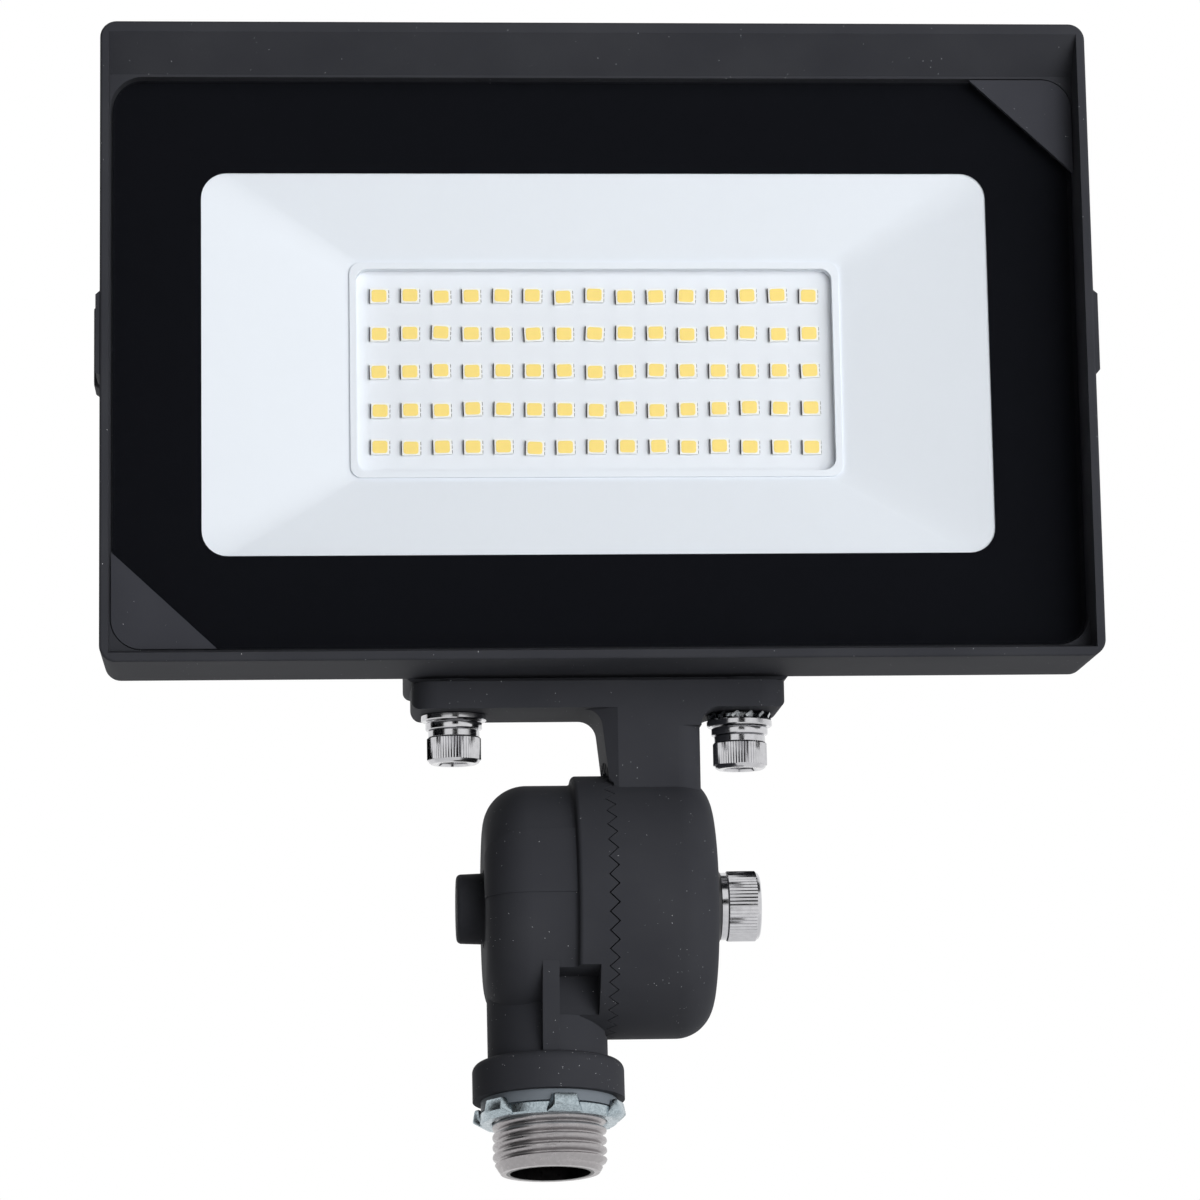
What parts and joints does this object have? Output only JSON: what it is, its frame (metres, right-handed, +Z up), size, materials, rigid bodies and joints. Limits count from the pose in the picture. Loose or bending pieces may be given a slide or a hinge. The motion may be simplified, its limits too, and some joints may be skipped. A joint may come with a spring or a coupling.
{
  "type": "led floodlight",
  "caption": "Flat rectangular LED floodlight head with a visor lip, glass front and finned driver box, tilting on a serrated clamped knuckle above a threaded nipple with a locknut",
  "frame": {"origin": "on the nipple's axis, at the underside of the collar that the sealing washer seats against", "axes": "+Z up the nipple's axis towards the head, -Y out of the lit side, +X to the right of someone facing it, along the knuckle's bolt towards its head"},
  "size_m": [0.1842, 0.0778, 0.2066],
  "materials": {
    "lower_arm": "black powder coat",
    "upper_arm": "black powder coat",
    "housing": "black powder coat",
    "corner_covers": "black powder coat",
    "driver_cover": "black powder coat",
    "knuckle_o_ring": "matte",
    "knuckle_nut": "black oxide",
    "bolt_washer": "black oxide",
    "knuckle_bolt": "bright, knurled head",
    "threaded_nipple": "bare, threaded",
    "seal_washer": "matte",
    "locknut": "zinc plated",
    "front_glass": "tempered, black printed border",
    "glass_gasket": "matte",
    "reflector": "white, smooth",
    "reflector_screws": "bright",
    "thermal_pad": "matte",
    "led_board": "white solder mask",
    "board_screws": "bright",
    "led_bodies": "white moulding",
    "led_phosphors": "clear silicone over yellow phosphor",
    "driver_board": "green solder mask",
    "driver_transformer": "yellow tape and dark core",
    "driver_capacitors": "dark sleeve",
    "driver_choke": "enamelled winding",
    "driver_heat_bar": "mill finish",
    "driver_transistor": "moulded",
    "driver_screws": "bright",
    "earth_screw": "bright",
    "wire_grommet": "matte",
    "board_leads": "insulated wire",
    "driver_cover_gasket": "matte",
    "driver_cover_screws": "bright",
    "arm_gasket": "matte",
    "flange_tooth_washer": "bright",
    "flange_flat_washers": "bright",
    "flange_spring_washers": "bright",
    "flange_screws": "bright, knurled head"
  },
  "bodies": {
    "base": {"lower_arm": "lower_arm", "threaded_nipple": "threaded_nipple", "knuckle_nut": "knuckle_nut", "knuckle_o_ring": "knuckle_o_ring"},
    "clamp": {"bolt_washer": "bolt_washer"},
    "head": {"upper_arm": "upper_arm", "housing": "housing", "corner_covers": "corner_covers", "driver_cover": "driver_cover", "front_glass": "front_glass", "glass_gasket": "glass_gasket", "reflector": "reflector", "reflector_screws": "reflector_screws", "thermal_pad": "thermal_pad", "led_board": "led_board", "board_screws": "board_screws", "led_bodies": "led_bodies", "led_phosphors": "led_phosphors", "driver_board": "driver_board", "driver_transformer": "driver_transformer", "driver_capacitors": "driver_capacitors", "driver_choke": "driver_choke", "driver_heat_bar": "driver_heat_bar", "driver_transistor": "driver_transistor", "driver_screws": "driver_screws", "earth_screw": "earth_screw", "wire_grommet": "wire_grommet", "board_leads": "board_leads", "driver_cover_gasket": "driver_cover_gasket", "driver_cover_screws": "driver_cover_screws", "arm_gasket": "arm_gasket", "flange_tooth_washer": "flange_tooth_washer", "flange_flat_washers": "flange_flat_washers", "flange_spring_washers": "flange_spring_washers", "flange_screws": "flange_screws"},
    "bolt": {"knuckle_bolt": "knuckle_bolt"},
    "seal": {"seal_washer": "seal_washer"},
    "nut": {"locknut": "locknut"}
  },
  "joints": [
    {"name": "knuckle_release", "type": "slide", "parent": "base", "child": "clamp", "axis": [1, 0, 0], "range_m": [0, 0.0025]},
    {"name": "head_tilt", "type": "hinge", "parent": "clamp", "child": "head", "pos_m": [0, 0, 0.036], "axis": [1, 0, 0], "range_deg": [-96, 80]},
    {"name": "bolt_turn", "type": "hinge", "parent": "clamp", "child": "bolt", "pos_m": [0, 0, 0.036], "axis": [1, 0, 0], "range_deg": [0, 720]},
    {"name": "locknut_travel", "type": "slide", "parent": "base", "child": "seal", "axis": [0, 0, -1], "range_m": [0, 0.00725]},
    {"name": "locknut_turn", "type": "hinge", "parent": "seal", "child": "nut", "pos_m": [0, 0, 0], "axis": [0, 0, -1], "range_deg": [0, 1440]}
  ],
  "couplings": [
    {"joint": "bolt_turn", "follows": "knuckle_release", "rad_per_m": 5026.5},
    {"joint": "locknut_turn", "follows": "locknut_travel", "rad_per_m": 3463.7}
  ]
}
